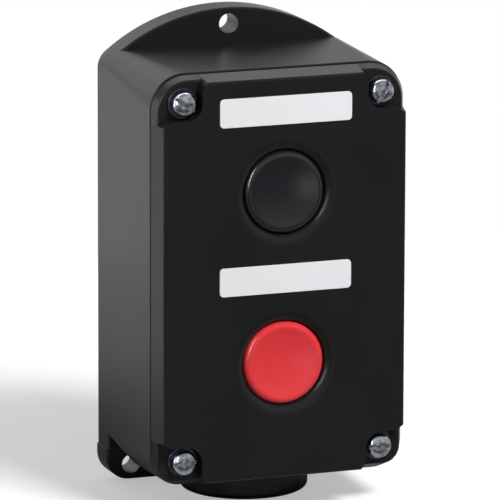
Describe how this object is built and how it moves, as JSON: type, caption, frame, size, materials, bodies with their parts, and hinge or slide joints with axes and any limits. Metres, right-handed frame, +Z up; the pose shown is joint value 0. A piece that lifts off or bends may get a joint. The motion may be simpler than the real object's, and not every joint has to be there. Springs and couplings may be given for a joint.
{
  "type": "pushbutton control station",
  "caption": "Surface-mounted enclosure with a black and a red recessed pushbutton, each with its label strip, an eared wall flange and a cable entry boss below.",
  "frame": {"origin": "on the wall face, at the centre of the housing's width and height", "axes": "+X to the right seen from the front, +Y into the wall, +Z up"},
  "size_m": [0.0754, 0.0565, 0.1376],
  "materials": {
    "black_moulding": "fine moulded grain, satin",
    "black_rubber": "plain moulded",
    "black_button": "smooth moulded, semi-gloss",
    "red_button": "smooth moulded, semi-gloss",
    "white_label": "plain white strip, satin",
    "zinc": "zinc plated steel",
    "brass": "turned, bare",
    "copper": "stamped copper alloy, bare",
    "block_moulding": "dark brown moulding compound",
    "plunger_moulding": "natural pale moulding"
  },
  "bodies": {
    "station": {"base_housing": "black_moulding", "thread_inserts": "brass", "cover_gasket": "black_rubber", "front_cover": "black_moulding", "cover_screws": "zinc", "spring_washers": "zinc", "flat_washers": "zinc", "label_upper": "white_label", "label_lower": "white_label", "gland_bush": "black_moulding", "gland_washer": "zinc", "gland_seal": "black_rubber", "upper_stem_seal": "black_rubber", "upper_return_spring": "zinc", "upper_contact_block": "block_moulding", "upper_fixed_contacts": "copper", "upper_terminal_screws": "zinc", "upper_block_screws": "zinc", "lower_stem_seal": "black_rubber", "lower_return_spring": "zinc", "lower_contact_block": "block_moulding", "lower_fixed_contacts": "copper", "lower_terminal_screws": "zinc", "lower_block_screws": "zinc"},
    "upper_actuator": {"upper_button": "black_button", "upper_plunger": "plunger_moulding", "upper_nc_bridge": "copper", "upper_no_bridge": "copper", "upper_contact_springs": "zinc"},
    "lower_actuator": {"lower_button": "red_button", "lower_plunger": "plunger_moulding", "lower_nc_bridge": "copper", "lower_no_bridge": "copper", "lower_contact_springs": "zinc"}
  },
  "joints": [
    {"name": "upper_press", "type": "slide", "parent": "station", "child": "upper_actuator", "axis": [0, 1, 0], "range_m": [0, 0.004], "stiffness_N_per_m": 1200, "deforming": ["upper_return_spring"]},
    {"name": "lower_press", "type": "slide", "parent": "station", "child": "lower_actuator", "axis": [0, 1, 0], "range_m": [0, 0.004], "stiffness_N_per_m": 1200, "deforming": ["lower_return_spring"]}
  ]
}
